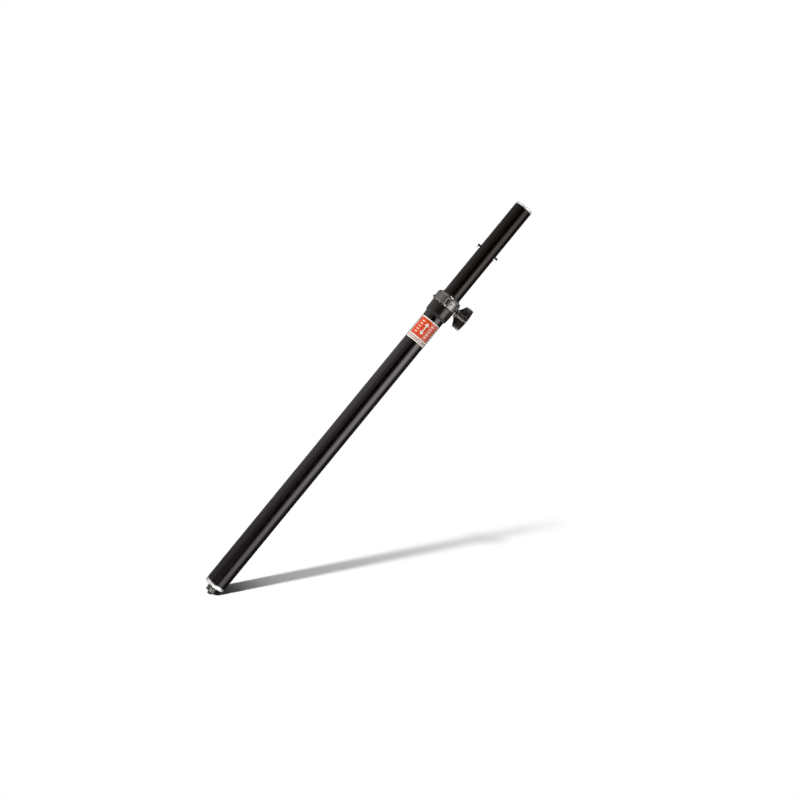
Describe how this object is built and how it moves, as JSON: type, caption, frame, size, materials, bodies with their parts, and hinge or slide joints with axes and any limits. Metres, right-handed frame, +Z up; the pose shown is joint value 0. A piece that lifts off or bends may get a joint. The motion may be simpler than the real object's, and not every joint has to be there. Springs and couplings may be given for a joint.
{
  "type": "telescopic speaker pole",
  "caption": "Telescopic speaker pole: black steel lower tube with a threaded foot stud, cast clamp collar with a wing knob, and a sliding upper tube with a cross pin and bright cap.",
  "frame": {"origin": "centre of the foot ring's underside, where the pole seats on its base, on the axis of the threaded stud", "axes": "+Z up the pole's axis, +X towards the wing knob, -Y towards the label"},
  "size_m": [0.079, 0.0508, 0.915],
  "materials": {
    "black_steel": "black satin powder coat",
    "bright_aluminium": "bright turned",
    "cast_metal": "grey die cast, slightly grained",
    "black_plastic": "black moulded, fine grain",
    "nylon": "black nylon, smooth",
    "rubber": "black moulded rubber",
    "chrome": "bright chrome plate",
    "zinc_steel": "zinc plated",
    "dark_steel": "dark oiled, bright on the crests",
    "printed_label": "printed film, satin"
  },
  "bodies": {
    "lower_section": {"lower_tube": "black_steel", "base_plug": "bright_aluminium", "threaded_stud": "dark_steel", "stud_washer": "zinc_steel", "stud_nut": "zinc_steel", "bottom_bumper": "rubber", "tube_label": "printed_label", "guide_liner": "nylon", "tube_sleeve": "black_plastic", "clamp_collar": "cast_metal", "collar_grub_screw": "dark_steel", "boss_insert": "zinc_steel"},
    "glide": {"glide_skirt": "nylon"},
    "upper_section": {"upper_tube": "black_steel", "top_cap": "bright_aluminium", "rest_pin": "chrome", "glide_plug": "nylon", "glide_pin": "zinc_steel"},
    "clamp_pad": {"pressure_pad": "nylon"},
    "knob": {"clamp_screw": "zinc_steel", "knob_washer": "nylon", "wing_knob": "black_plastic"}
  },
  "joints": [
    {"name": "height_slide", "type": "slide", "parent": "lower_section", "child": "glide", "axis": [0, 0, 1], "range_m": [0, 0.48]},
    {"name": "pole_turn", "type": "hinge", "parent": "glide", "child": "upper_section", "pos_m": [0, 0, 0.08], "axis": [0, 0, 1], "continuous": true},
    {"name": "clamp_travel", "type": "slide", "parent": "lower_section", "child": "clamp_pad", "axis": [1, 0, 0], "range_m": [0, 0.00125]},
    {"name": "knob_turn", "type": "hinge", "parent": "clamp_pad", "child": "knob", "pos_m": [0.0271, 0, 0.6711], "axis": [1, 0, 0], "range_deg": [0, 360]}
  ],
  "couplings": [
    {"joint": "clamp_travel", "follows": "knob_turn", "m_per_rad": 0.00019894}
  ]
}
